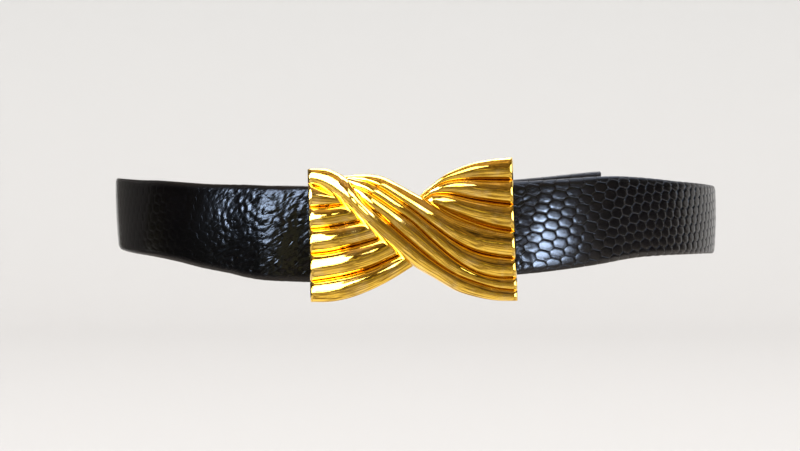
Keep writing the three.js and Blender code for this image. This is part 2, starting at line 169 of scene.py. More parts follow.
def along(rows, column, at):
    """A column's value at any places: a smooth curve through the rows."""
    x, y = rows["at"], rows[column]
    row = np.clip(np.searchsorted(x, at, side="right") - 1, 0, len(x) - 2)
    before = np.maximum(np.arange(len(x)) - 1, 0)
    after = np.minimum(np.arange(len(x)) + 1, len(x) - 1)
    slope = (y[after] - y[before]) / (x[after] - x[before])
    run = x[row + 1] - x[row]
    t = (at - x[row]) / run
    bend = run * t * (1 - t) * (slope[row] * (1 - t) - slope[row + 1] * t)
    return y[row] * (1 + 2 * t) * (1 - t) ** 2 + y[row + 1] * (3 - 2 * t) * t**2 + bend


def smoothstep(x, low, high):
    """Eases from 0 to 1 between two values of x."""
    t = np.clip((x - low) / (high - low), 0, 1)
    return t * t * (3 - 2 * t)


def waist_normal(angle):
    """The waist oval's outward direction in plan, at an angle from the front towards +X."""
    x = WAIST_HALF_DEPTH * np.sin(np.radians(angle))
    y = -WAIST_HALF_WIDTH * np.cos(np.radians(angle))
    return np.stack([x, y], -1) / np.hypot(x, y)[..., None]


def waist_point(angle, lift):
    """A point in plan, lift outwards from the waist oval."""
    x = WAIST_HALF_WIDTH * np.sin(np.radians(angle))
    y = -WAIST_HALF_DEPTH * np.cos(np.radians(angle))
    return np.stack([x, y], -1) + waist_normal(angle) * np.asarray(lift)[..., None]


# Making and finishing meshes

def grid_mesh(columns, rows):
    """A flat sheet of faces, with each corner's own place in it from 0 to 1 both ways."""
    bm = bmesh.new()
    bmesh.ops.create_grid(bm, x_segments=columns, y_segments=rows, size=0.5)
    bmesh.ops.translate(bm, verts=bm.verts, vec=(0.5, 0.5, 0))
    return bm


def grid_places(bm, columns, rows):
    """Each corner's column and row in the sheet."""
    places = np.array([vert.co[:2] for vert in bm.verts])
    return np.rint(places[:, 0] * columns).astype(int), np.rint(places[:, 1] * rows).astype(int)


def move_to(bm, points):
    for vert, point in zip(bm.verts, points):
        vert.co = point


def solid(bm, name, smooth_below=35):
    """A closed piece at the origin with its faces outwards, shaded smooth up to an angle."""
    bmesh.ops.recalc_face_normals(bm, faces=bm.faces)
    mesh = bpy.data.meshes.new(name)
    bm.to_mesh(mesh)
    bm.free()
    for polygon in mesh.polygons:
        polygon.use_smooth = True
    mesh.set_sharp_from_angle(angle=math.radians(smooth_below))
    piece = bpy.data.objects.new(name, mesh)
    bpy.context.scene.collection.objects.link(piece)
    return piece


def combine(piece, other, operation):
    """Joins the other solid to the piece, or cuts it out, and removes the other."""
    step = piece.modifiers.new(operation.lower(), "BOOLEAN")
    step.operation = operation
    step.solver = "MANIFOLD"
    step.object = other
    bpy.context.view_layer.update()
    graph = bpy.context.evaluated_depsgraph_get()
    mesh = bpy.data.meshes.new_from_object(piece.evaluated_get(graph))
    piece.modifiers.clear()
    piece.data = mesh
    bpy.data.objects.remove(other)
    return piece


def finished(piece, node, material):
    """Gives a piece its material, hides the CAD node that it replaces and parents it to the root body."""
    piece.data.materials.clear()
    piece.data.materials.append(material)
    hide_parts(node)
    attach(piece, "root")
    return piece


# The buckle plate's surface

def back_at(u):
    """How far the plate's bowed back lies from the waist's middle."""
    return BACK_AT_MIDDLE - BACK_BOW * u * u


def swell(u):
    """How far the twist swells out, from nothing at the plate's ends."""
    rising = smoothstep(u, PLATE_LEFT, TWIST_FROM)
    falling = smoothstep(u, TWIST_TO, PLATE_RIGHT)
    return TWIST_LIFT * rising * (1 - falling)


def end_factor(u):
    """How far the plate's depth rounds off towards its ends."""
    to_end = np.minimum(u - PLATE_LEFT, PLATE_RIGHT - u)
    into = np.clip(1 - to_end / END_ROUND, 0, 1)
    return END_FACE + (1 - END_FACE) * np.sqrt(1 - into**2)


def dome_at(u, v):
    """The twist's swell between its lower and its upper edge."""
    low = along(FRONT_FOLD, "low", u)
    before_twist = u < BACK_FOLD["at"][0]
    high = np.where(before_twist, along(FRONT_FOLD, "high", u), along(BACK_FOLD, "high", u))
    across = np.clip(2 * (v - low) / (high - low) - 1, -1, 1)
    return swell(u) * np.sqrt(1 - across**2)


def fold_step(u):
    """How far the front fold stands over the fold behind it, most where the two cross."""
    near = 1 - smoothstep(np.abs(u - FOLD_STEP_AT), 0, FOLD_STEP_REACH)
    return FOLD_STEP + FOLD_STEP_MORE * near


def on_plate(u, v, depth):
    """The point at a place across the plate, a height up it and a depth outwards."""
    turn = math.radians(PLATE_TURN)
    here = np.radians(PLATE_TURN + TURN_PER_MM * u)
    x = PLATE_X + u * math.cos(turn) - v * np.sin(here)
    z = PLATE_Z + u * math.sin(turn) + v * np.cos(here)
    return np.stack([x, -depth, z], -1) * MM


# How finely the plate is divided, in millimetres across it and in facets round each ridge.
PLATE_STEP = 0.5
RIDGE_FACETS = 20
ROUNDING_STEPS = 8
SLOPE_SPAN = 0.25
SHARP_OVER = 38


def steepness(rows, line, u):
    """How steeply a fold's line climbs at a place across the plate."""
    ahead = along(rows, line, u + SLOPE_SPAN)
    behind = along(rows, line, u - SLOPE_SPAN)
    return (ahead - behind) / (2 * SLOPE_SPAN)


def places_across(first, last, set_back):
    """Places across the plate, closer together where an end rounds off."""
    rounding = set_back + END_ROUND * (1 - np.cos(np.linspace(0, math.pi / 2, ROUNDING_STEPS)))
    left = first + rounding if first == PLATE_LEFT else np.array([first])
    right = last - rounding[::-1] if last == PLATE_RIGHT else np.array([last])
    count = round((right[0] - left[-1]) / PLATE_STEP)
    return np.concatenate([left, np.linspace(left[-1], right[0], count + 1)[1:-1], right])


def closed_down_to(bm, feet):
    """Closes a sheet that faces -Y into a solid: a copy of each corner goes back to its foot's Y, in mm."""
    foot = bm.verts.layers.float.new("foot")
    for vert, y in zip(bm.verts, feet):
        vert[foot] = y * MM
    copy = bmesh.ops.extrude_face_region(bm, geom=bm.faces[:], use_keep_orig=True)
    for part in copy["geom"]:
        if isinstance(part, bmesh.types.BMVert):
            part.co.y = part[foot]
    bm.verts.layers.float.remove(foot)


def fluted_sheet(name, rows, first, last, set_back, bed, hem=0.0):
    """A fluted sheet down to the plate's back: half-round ridges between the table's lines,
    with a plain hem below the lowest line where another sheet covers it."""
    lines = [column for column in rows if column != "at"]
    ridges = len(lines) - 1
    hem_rows = 1 if hem else 0
    stations = places_across(first, last, set_back)
    bm = grid_mesh(len(stations) - 1, ridges * RIDGE_FACETS + hem_rows)
    station, step = grid_places(bm, len(stations) - 1, ridges * RIDGE_FACETS + hem_rows)
    u = stations[station]
    step = step - hem_rows
    ridge = np.clip(step // RIDGE_FACETS, 0, ridges - 1)
    turn = np.pi * np.clip(step / RIDGE_FACETS - ridge, 0, 1)
    corner = np.arange(len(u))
    heights = np.array([along(rows, line, u) for line in lines])
    drift = np.array([steepness(rows, line, u) for line in lines])
    low, high = heights[ridge, corner], heights[ridge + 1, corner]
    slope = (drift[ridge, corner] + drift[ridge + 1, corner]) / 2
    rise = RIDGE_RISE * (high - low) / np.hypot(1, slope)
    v = low + (high - low) * (1 - np.cos(turn)) / 2 - np.where(step < 0, hem, 0)
    depth = (WALL + bed(u, v) + rise * np.sin(turn)) * end_factor(u)
    move_to(bm, on_plate(u, v, back_at(u) + depth))
    closed_down_to(bm, -back_at(u))
    return solid(bm, name)


def dive_under(rows, line, side, u, v):
    """How a fan sinks as it nears the line of the fold that covers it, which lies on this side of it."""
    away = side * (along(rows, line, u) - v) / np.hypot(1, steepness(rows, line, u))
    return -FAN_DIVE * (1 - smoothstep(away, 0, DIVE_REACH))


def left_fan_bed(u, v):
    """The left fan goes under the front fold's lower edge, which is above it."""
    return dive_under(FRONT_FOLD, "low", 1, u, v)


def right_fan_bed(u, v):
    """The right fan goes under the back fold's upper edge, which is below it."""
    return dive_under(BACK_FOLD, "high", -1, u, v)


def front_fold_bed(u, v):
    """The front fold lies over the twist."""
    return dome_at(u, v) + fold_step(u)


HOLLOW_FROM = -20
HOLLOW_TO = 20
HOLLOW_MARGIN = 2.2
HOLLOW_WALL = 1.4
HOLLOW_COLUMNS = 40
HOLLOW_ROWS = 24


def hollow_behind_twist():
    """The recess behind the twist, which keeps the casting's wall even."""
    bm = grid_mesh(HOLLOW_COLUMNS, HOLLOW_ROWS)
    station, step = grid_places(bm, HOLLOW_COLUMNS, HOLLOW_ROWS)
    u = HOLLOW_FROM + (HOLLOW_TO - HOLLOW_FROM) * station / HOLLOW_COLUMNS
    low = along(FRONT_FOLD, "low", u) + HOLLOW_MARGIN
    high = along(BACK_FOLD, "high", u) - HOLLOW_MARGIN
    v = low + (high - low) * step / HOLLOW_ROWS
    move_to(bm, on_plate(u, v, back_at(u) + dome_at(u, v) + WALL - HOLLOW_WALL))
    closed_down_to(bm, np.full_like(u, WALL - back_at(HOLLOW_TO)))
    return solid(bm, "hollow")


ROUND_SIDES = 64
PIN_BEVEL = 0.3
BEVEL_SEGMENTS = 3
RIM_OVER = 60


def upright_rod(name, x, y, bottom, top, radius, bevel=0.0):
    """A round rod along Z, in millimetres, with its ends bevelled if asked."""
    bm = bmesh.new()
    bmesh.ops.create_cone(bm, cap_ends=True, segments=ROUND_SIDES, radius1=radius * MM,
                          radius2=radius * MM, depth=(top - bottom) * MM)
    bmesh.ops.translate(bm, verts=bm.verts, vec=(x * MM, y * MM, (top + bottom) / 2 * MM))
    if bevel:
        rims = [edge for edge in bm.edges if len(edge.link_faces) == 2
                and edge.calc_face_angle() > math.radians(RIM_OVER)]
        bmesh.ops.bevel(bm, geom=rims, offset=bevel * MM, segments=BEVEL_SEGMENTS, profile=0.5,
                        affect="EDGES", material=-1)
    return solid(bm, name)


def bar_places():
    """Each bar: its name, its side, its middle in plan, and the bottoms of its two ears."""
    bars = []
    for name, side, row in (("left_bar", -1, 0), ("right_bar", 1, -1)):
        x, y = waist_point(np.array(side * BAR_ANGLE), STRAP_THICK + BAR_GAP + BAR_RADIUS)
        reach = LOOP["width"][row] / 2 + EAR_FROM_STRAP
        rise = LOOP["rise"][row]
        bars.append({"name": name, "side": side, "x": float(x), "y": float(y),
                     "low_ear": rise - reach - EAR_THICK, "high_ear": rise + reach})
    return bars


BARS = bar_places()


def ear(bar, bottom):
    """An ear behind the plate, with a round end and a hole for the bar."""
    front = -back_at(bar["x"] - PLATE_X) - EAR_INTO_PLATE
    piece = upright_rod("ear", bar["x"], bar["y"], bottom, bottom + EAR_THICK, EAR_ROUND)
    for vert in piece.data.vertices:
        if vert.co.y < bar["y"] * MM - SAME_PLACE:
            vert.co.y = front * MM
    hole = upright_rod("hole", bar["x"], bar["y"], bottom - HOLE_PAST_EAR,
                       bottom + EAR_THICK + HOLE_PAST_EAR, BAR_RADIUS + BAR_GAP)
    return combine(piece, hole, "DIFFERENCE")


def make_plate():
    """The casting: the two fans, the two folds and the four ears in one solid, hollow behind the twist."""
    fans_back = 2 * SET_BACK
    left_end, right_start, behind_start = LEFT_FAN["at"][-1], RIGHT_FAN["at"][0], BACK_FOLD["at"][0]
    cast = fluted_sheet("buckle_casting", LEFT_FAN, PLATE_LEFT, left_end, fans_back, left_fan_bed)
    right = fluted_sheet("right_fan", RIGHT_FAN, right_start, PLATE_RIGHT, fans_back, right_fan_bed)
    behind = fluted_sheet("back_fold", BACK_FOLD, behind_start, PLATE_RIGHT, SET_BACK, dome_at, HEM)
    front = fluted_sheet("front_fold", FRONT_FOLD, PLATE_LEFT, PLATE_RIGHT, 0, front_fold_bed)
    for sheet in (right, behind, front):
        combine(cast, sheet, "UNION")
    combine(cast, hollow_behind_twist(), "DIFFERENCE")
    for bar in BARS:
        combine(cast, ear(bar, bar["low_ear"]), "UNION")
        combine(cast, ear(bar, bar["high_ear"]), "UNION")
    for polygon in cast.data.polygons:
        polygon.use_smooth = True
    cast.data.set_sharp_from_angle(angle=math.radians(SHARP_OVER))
    return cast


def make_pin(bar):
    """The pin of a bar, which ends a little past its ears."""
    bottom = bar["low_ear"] - BAR_PAST_EAR
    top = bar["high_ear"] + EAR_THICK + BAR_PAST_EAR
    return upright_rod(bar["name"] + "_pin", bar["x"], bar["y"], bottom, top, BAR_RADIUS, PIN_BEVEL)


# How finely the strap is divided: along its shown front, its tail and its back, in millimetres,
# and in steps round its folds and its section.
SHOWN_STEP = 0.42
TAIL_STEP = 1.5 * SHOWN_STEP
BACK_STEP = 1.45
SHOWN_TO = 76
FOLD_STEPS = 14
FACE_STEPS = 62
SHOULDER_STEPS = 7
INNER_EDGE_STEPS = 5
LINING_STEPS = 8

# The shoulder is where the skin turns over the edge: how far it reaches across and back, and how
# square it is. The edge dressing covers some of the skin there.
SHOULDER_ACROSS = 2.5
SHOULDER_BACK = 1.25
SHOULDER_SQUARE = 1.7
INNER_EDGE = 1.0
CROWN = 0.3
EDGE_DRESSING = 0.4
INNER_EDGE_SKIN = 0.5


def arc_places(first, last, step):
    """Angles from one to another, about a step apart in millimetres along the waist."""
    middle_radius = (WAIST_HALF_WIDTH + WAIST_HALF_DEPTH) / 2
    length = abs(math.radians(last - first)) * middle_radius
    return np.linspace(first, last, max(2, round(length / step) + 1))


def bar_fold(bar, turn):
    """The strap's middle layer round a bar: turn is 0 at the body side and 180 outside."""
    outwards = waist_normal(np.array(bar["side"] * BAR_ANGLE))
    inwards = np.array([-outwards[1], outwards[0]]) * -bar["side"]
    turn = np.radians(turn)[:, None]
    spoke = inwards * np.sin(turn) - outwards * np.cos(turn)
    return np.array([bar["x"], bar["y"]]) + spoke * (BAR_RADIUS + BAR_GAP + STRAP_THICK / 2)


def strap_way():
    """The strap's middle line, from the end folded back at the left, round the waist, to the tail at the
    right: its place in plan, its angle in the loop's table, how far it slips up, and which way its lean
    counts."""
    first, last = LOOP["at"][0], LOOP["at"][-1]
    folded = arc_places(RETURN_END, first, BACK_STEP)
    turn = np.linspace(0, 180, FOLD_STEPS + 2)[1:-1]
    loop = np.concatenate([
        arc_places(first, SHOWN_TO, SHOWN_STEP),
        arc_places(SHOWN_TO, 360 - SHOWN_TO, BACK_STEP)[1:],
        arc_places(360 - SHOWN_TO, last, SHOWN_STEP)[1:],
    ])
    tail = arc_places(BAR_ANGLE, TAIL_END, TAIL_STEP)
    plan = [waist_point(-folded, np.full_like(folded, ON_BODY)), bar_fold(BARS[0], turn),
            waist_point(360 - loop, along(LOOP, "lift", loop)), bar_fold(BARS[1], turn[::-1]),
            waist_point(tail, np.full_like(tail, ON_BODY))]
    at = [folded, np.full_like(turn, first), loop, np.full_like(turn, last), 360 - tail]
    slip = [0 * folded, 0 * turn, 0 * loop, 0 * turn, along(TAIL, "slip", tail)]
    lean_sign = [0 * folded - 1, 0 * turn, 0 * loop + 1, 0 * turn, 0 * tail - 1]
    return [np.concatenate(parts) for parts in (plan, at, slip, lean_sign)]


def strap_section():
    """The strap's closed outline, from the lining's middle by the lower edge: how much of the half width
    each corner takes, how much it adds, how far it lies back from the skin, and how much of it is skin."""
    face = np.linspace(-1, 1, FACE_STEPS + 1)
    over = np.linspace(0, np.pi / 2, SHOULDER_STEPS + 1)[1:]
    power = 2 / SHOULDER_SQUARE
    shoulder_across = SHOULDER_ACROSS * (np.sin(over) ** power - 1)
    shoulder_back = SHOULDER_BACK + (CROWN - SHOULDER_BACK) * np.cos(over) ** power
    under = np.linspace(np.pi / 2, 0, INNER_EDGE_STEPS + 1)[1:]
    under_across = INNER_EDGE * (np.sin(under) - 1)
    under_back = STRAP_THICK - (STRAP_THICK - SHOULDER_BACK) * (1 - np.cos(under))
    lining = np.linspace(1, 0, LINING_STEPS // 2 + 1)[1:]
    share = np.concatenate([np.ones(len(over) + len(under)), lining])
    adds = np.concatenate([shoulder_across, under_across, -INNER_EDGE * lining])
    back = np.concatenate([shoulder_back, under_back, np.full(len(lining), STRAP_THICK)])
    turned_under = np.linspace(INNER_EDGE_SKIN, 0, len(under))
    skin = np.concatenate([1 - EDGE_DRESSING * np.sin(over), turned_under, 0 * lining])
    share = np.concatenate([-share[::-1], face, share])
    adds = np.concatenate([-adds[::-1], -SHOULDER_ACROSS * face, adds])
    back = np.concatenate([back[::-1], CROWN * face**2, back])
    skin = np.concatenate([skin[::-1], 0 * face + 1, skin])
    return share, adds, back, skin


# The grain: scales in staggered columns that lean, in millimetres, which crowd at the waist's sides.
COLUMN_APART = 5.05
SCALE_HIGH = 3.6
SCALE_SQUASH = 0.7
COLUMN_LEAN = math.radians(15)
GRAIN_WANDER = 0.45
WANDER_SPAN = 13
WANDER_SLICE = 0
CROWDED_SIDES = 0.24
CROWDED_FROM = 28
CROWDED_TO = 62

# How deep the scales' domed edges lie, how deep the crease between them is, and how they tilt to overlap.
SCALE_DOME = 0.028
SIDE_DOME = 0.13
SCALE_CREASE = 0.04
CREASE_HALF = 0.5
SCALE_TILT = 0.02

# The scales are pressed less deep at the loop's left, and grow to their full depth between two angles.
LEFT_GRAIN = 0.15
GRAIN_GROWS = (120, 240)

# The crinkles of skin that is folded back and forth: their depth, slant, length, spacing and bends, and
# the angles between which they fade from the left bend and begin again at the right one.
CRINKLE_DEEP = 0.2
CRINKLE_LEAN = math.radians(52)
CRINKLE_LONG = 4.2
CRINKLE_APART = 2.2
CRINKLE_SLICE = 3
CRINKLE_BEND = 2.5
BEND_SPAN = 7
BEND_SLICE = 9
CRINKLE_SOFTNESS = 0.9
CRINKLE_FINER = 2.1
CRINKLE_OCTAVES = 2
CRINKLE_OFFSET = 1.0
CRINKLE_GAIN = 2.0
CRINKLE_PEAK = 1.5
CRINKLES_FADE = (31, 44)
CRINKLES_AGAIN = (338, 345)
RIGHT_CRINKLES = 0.8
GRAIN_LOST = 0.85
STRAP_SMOOTH_BELOW = 50


def wandering(way, across, span, part, reach):
    """The places moved about smoothly: over what span, in which part of the noise, and how far."""
    drift = np.array([noise.noise_vector(Vector((a / span, b / span, part))) for a, b in zip(way, across)])
    return way + reach * drift[:, 0], across + reach * drift[:, 1]


def grain_places(way, across):
    """The scales' own coordinates at places along and across the strap, wandering a little."""
    way, across = wandering(way, across, WANDER_SPAN, WANDER_SLICE, GRAIN_WANDER)
    columns = -way * math.cos(COLUMN_LEAN) - across * math.sin(COLUMN_LEAN)
    heights = across * math.cos(COLUMN_LEAN) - way * math.sin(COLUMN_LEAN)
    return columns, heights


def scale_shape(columns, heights):
    """At each place, in millimetres: how far the scale's edge is, how high it lies above the scale's
    middle, and its squashed distance from that middle, squared."""
    def to_middles(shift):
        x = (columns / COLUMN_APART - shift) / 2
        y = heights / SCALE_HIGH - shift / 2
        return (x - np.rint(x)) * 2 * COLUMN_APART * SCALE_SQUASH, (y - np.rint(y)) * SCALE_HIGH

    (ax, ay), (bx, by) = to_middles(0), to_middles(1)
    near_a, near_b = ax**2 + ay**2, bx**2 + by**2
    apart = math.hypot(COLUMN_APART * SCALE_SQUASH, SCALE_HIGH / 2)
    beside = np.abs(near_a - near_b) / (2 * apart)
    height = np.where(near_a < near_b, ay, by)
    return np.minimum(beside, SCALE_HIGH / 2 - np.abs(height)), height, np.minimum(near_a, near_b)


def crowded(at):
    """How crowded the scales are, by the loop's angle: 0 in front to 1 at the sides and the back."""
    return smoothstep(np.minimum(at, 360 - at), CROWDED_FROM, CROWDED_TO)


def crinkle_share(at):
    """How crinkled the skin is, by the loop's angle: most where the strap bends near the plate."""
    left = 1 - smoothstep(at, *CRINKLES_FADE)
    right = RIGHT_CRINKLES * smoothstep(at, *CRINKLES_AGAIN)
    return np.maximum(left, right)


def grain_share(at):
    """How deep the scales are pressed, by the loop's angle: less in crinkled skin and at the left."""
    grown = LEFT_GRAIN + (1 - LEFT_GRAIN) * smoothstep(at, *GRAIN_GROWS)
    return (1 - GRAIN_LOST * crinkle_share(at)) * grown


def crinkles(way, across):
    """Bent creases that run mostly up to the right, from 0 to 1."""
    way, across = wandering(way, across, BEND_SPAN, BEND_SLICE, CRINKLE_BEND)
    along_it = (across * math.sin(CRINKLE_LEAN) - way * math.cos(CRINKLE_LEAN)) / CRINKLE_LONG
    beside_it = (way * math.sin(CRINKLE_LEAN) + across * math.cos(CRINKLE_LEAN)) / CRINKLE_APART
    values = [noise.ridged_multi_fractal(Vector((a, b, CRINKLE_SLICE)), CRINKLE_SOFTNESS, CRINKLE_FINER,
                                         CRINKLE_OCTAVES, CRINKLE_OFFSET, CRINKLE_GAIN)
              for a, b in zip(along_it, beside_it)]
    return np.clip(np.array(values) / CRINKLE_PEAK, 0, 1)


def strap_directions(plan, lean):
    """The ways out of the skin and up the strap, at each place along its middle line."""
    tangent = np.gradient(plan, axis=0)
    tangent /= np.hypot(*tangent.T)[:, None]
    level = np.stack([-tangent[:, 1], tangent[:, 0], np.zeros(len(plan))], -1)
    up = np.array([0, 0, 1.0])
    skin_way = level * np.cos(lean)[:, None] + up * np.sin(lean)[:, None]
    across_way = up * np.cos(lean)[:, None] - level * np.sin(lean)[:, None]
    return skin_way, across_way


def way_along(plan, at):
    """How far along the strap each place of its middle line is, in the measure of its crowded scales."""
    runs = np.hypot(*np.diff(plan, axis=0).T)
    crowding = 1 + CROWDED_SIDES * crowded(at)
    return np.concatenate([[0], np.cumsum(runs * crowding[1:])])


def way_round(share, adds, back, half):
    """How far round a section of this half width each of its corners is, from the skin's middle."""
    steps = np.hypot(np.diff(share * half + adds), np.diff(back))
    far = np.concatenate([[0], np.cumsum(steps)])
    return far - far[-1] / 2


def scale_relief(at, columns, heights):
    """How deep the scales' domed edges and the creases between them lie."""
    edge, above, near = scale_shape(columns, heights)
    dome = SCALE_DOME + (SIDE_DOME - SCALE_DOME) * crowded(at)
    pressed = dome * near**2 / (SCALE_HIGH / 2) ** 4 + SCALE_TILT * (SCALE_HIGH / 2 - above)
    pressed += SCALE_CREASE * (1 - smoothstep(edge, 0.0, CREASE_HALF))
    return pressed * grain_share(at)


def crinkle_relief(at, way, across, skin):
    """How deep the crinkles lie, worked out only where the skin has them."""
    crinkle = crinkle_share(at)
    shown = (crinkle > 0) & (skin > 0)
    creased = np.zeros_like(crinkle)
    creased[shown] = CRINKLE_DEEP * crinkle[shown] * crinkles(way[shown], across[shown])
    return creased


def keep_for_finish(bm, values_by_name, columns, heights):
    """Keeps each corner's values and its place in the grain with the mesh, for the leather's nodes."""
    for name, values in values_by_name.items():
        layer = bm.verts.layers.float.new(name)
        for vert, value in zip(bm.verts, values):
            vert[layer] = value
    uv = bm.loops.layers.uv.new("UVMap")
    bm.verts.index_update()
    for face in bm.faces:
        for loop in face.loops:
            loop[uv].uv = (columns[loop.vert.index], heights[loop.vert.index])


def make_strap():
    """The strap's section carried along its middle line, with the grain and the crinkles in its skin."""
    plan, at, slip, lean_sign = strap_way()
    share, adds, back, skin = strap_section()
    half = along(LOOP, "width", at) / 2
    rise = along(LOOP, "rise", at) + slip
    middle = np.concatenate([plan, rise[:, None]], axis=1)
    skin_way, across_way = strap_directions(plan, np.radians(-lean_sign * along(LOOP, "lean", at)))

    bm = grid_mesh(len(plan) - 1, len(share) - 1)
    station, corner = grid_places(bm, len(plan) - 1, len(share) - 1)
    height = share[corner] * half[station] + adds[corner]
    out = STRAP_THICK / 2 - back[corner]
    base = middle[station] + across_way[station] * height[:, None] + skin_way[station] * out[:, None]
    move_to(bm, base * MM)
    bm.normal_update()

    way = way_along(plan, at)[station]
    wider = share[corner] * (half[station] - half.mean())
    across = way_round(share, adds, back, half.mean())[corner] + wider
    columns, heights = grain_places(way, across)
    at, skin = at[station], skin[corner]
    deep = (scale_relief(at, columns, heights) + crinkle_relief(at, way, across, skin)) * skin
    normals = np.array([vert.normal for vert in bm.verts])
    facing = np.sign(np.einsum("ij,ij->i", normals, base - middle[station]))[:, None]
    move_to(bm, base * MM - normals * facing * deep[:, None] * MM)

    values_by_name = {"skin": skin, "crinkle": crinkle_share(at), "grain": grain_share(at)}
    keep_for_finish(bm, values_by_name, columns, heights)
    bmesh.ops.remove_doubles(bm, verts=bm.verts, dist=SAME_PLACE)
    ends = [edge for edge in bm.edges if edge.is_boundary]
    bmesh.ops.holes_fill(bm, edges=ends)
    return solid(bm, "leather_strap", STRAP_SMOOTH_BELOW)


# Materials

class Nodes:
    """A tree's nodes, joined one after another."""

    def __init__(self, tree):
        self.nodes = tree.nodes
        self.links = tree.links

    def put(self, socket, value):
        """Joins a socket to another node's, or sets it to a value."""
        if isinstance(value, bpy.types.NodeSocket):
            self.links.new(value, socket)
        else:
            socket.default_value = value

    def add(self, kind, inputs=None, **settings):
        """A new node with these settings, and its inputs put by name."""
        node = self.nodes.new(kind)
        for name, value in settings.items():
            setattr(node, name, value)
        for name, value in (inputs or {}).items():
            self.put(node.inputs[name], value)
        return node

    def math(self, operation, *values):
        node = self.add("ShaderNodeMath", operation=operation)
        for socket, value in zip(node.inputs, values):
            self.put(socket, value)
        return node.outputs[0]

    def between(self, value, low, high, to_low=0.0, to_high=1.0):
        """The value eased from one range to another."""
        ranges = {"Value": value, "From Min": low, "From Max": high, "To Min": to_low, "To Max": to_high}
        node = self.add("ShaderNodeMapRange", ranges, interpolation_type="SMOOTHSTEP")
        return node.outputs["Result"]

    def speckle(self, place, scale, detail, roughness=0.5, distortion=0.0, kind="FBM"):
        """Noise at a place: how fine it is, and how rough."""
        inputs = {"Vector": place, "Scale": scale, "Detail": detail, "Roughness": roughness,
                  "Distortion": distortion}
        return self.add("ShaderNodeTexNoise", inputs, noise_type=kind).outputs["Fac"]


class Finish(Nodes):
    """A material, with what its nodes give its shader."""

    def __init__(self, name):
        self.material = bpy.data.materials.new(name)
        self.material.use_nodes = True
        super().__init__(self.material.node_tree)
        self.shader = self.nodes["Principled BSDF"]

    def object_place(self):
        return self.add("ShaderNodeTexCoord").outputs["Object"]

    def attribute(self, name):
        return self.add("ShaderNodeAttribute", attribute_name=name).outputs["Fac"]

    def tint(self, share, first, second):
        """A colour between two others."""
        node = self.add("ShaderNodeMix", data_type="RGBA")
        for name, value in (("Factor", share), ("A", first), ("B", second)):
            self.put(node.inputs[name], value)
        return node.outputs["Result"]

    def bump(self, height, deep, strength, normal=None):
        """The surface's direction where this height, as deep as this in metres, is pressed into it."""
        node = self.add("ShaderNodeBump", {"Height": height, "Distance": deep, "Strength": strength})
        if normal is not None:
            self.put(node.inputs["Normal"], normal)
        return node.outputs["Normal"]

    def shade(self, **values):
        """The material, once the shader's sockets have these values."""
        for name, value in values.items():
            self.put(self.shader.inputs[name.replace("_", " ")], value)
        return self.material


def scale_grain_nodes(finish, columns, heights):
    """The distance from each place to its scale's edge, as scale_shape works it out."""
    def to_middles(shift):
        x = finish.math("MULTIPLY_ADD", columns, 0.5 / COLUMN_APART, 0.5 - shift / 2)
        y = finish.math("MULTIPLY_ADD", heights, 1 / SCALE_HIGH, 0.5 - shift / 2)
        x = finish.math("SUBTRACT", finish.math("FRACT", x), 0.5)
        y = finish.math("SUBTRACT", finish.math("FRACT", y), 0.5)
        x = finish.math("MULTIPLY", x, 2 * COLUMN_APART * SCALE_SQUASH)
        y = finish.math("MULTIPLY", y, SCALE_HIGH)
        away = finish.math("ADD", finish.math("MULTIPLY", x, x), finish.math("MULTIPLY", y, y))
        return y, away

    a_high, a_away = to_middles(0)
    b_high, b_away = to_middles(1)
    apart = math.hypot(COLUMN_APART * SCALE_SQUASH, SCALE_HIGH / 2)
    difference = finish.math("SUBTRACT", a_away, b_away)
    beside = finish.math("MULTIPLY", finish.math("ABSOLUTE", difference), 0.5 / apart)
    nearer_b = finish.math("GREATER_THAN", difference, 0.0)
    high = finish.math("ADD", finish.math("MULTIPLY", a_high, finish.math("SUBTRACT", 1.0, nearer_b)),
                       finish.math("MULTIPLY", b_high, nearer_b))
    above = finish.math("SUBTRACT", SCALE_HIGH / 2, finish.math("ABSOLUTE", high))
    return finish.math("MINIMUM", beside, above)


# The leather's colours and how dull it is, and its finest relief: shares of a height, and that height.
SKIN_BLACK = (0.0020, 0.0020, 0.0026, 1)
# The grooves' black, darker than the skin's, is painted shade in the creases between the scales.
GROOVE_SHADE_BLACK = (0.0009, 0.0009, 0.0009, 1)
LINING_BROWN = (0.028, 0.023, 0.019, 1)
SKIN_DULL = 0.09
PATCHES_DULL = 0.12
GROOVE_DULL = 0.05
LINING_DULL = 0.62
GROOVE_HALF = (0.02, 0.22)
PORES = 0.12
FINE_CREASES = 1.1
FINE_CREASE_LEAN = math.radians(48)
FINE_CREASE_LONG = 2.4
GRAIN_BUMP = 0.00016


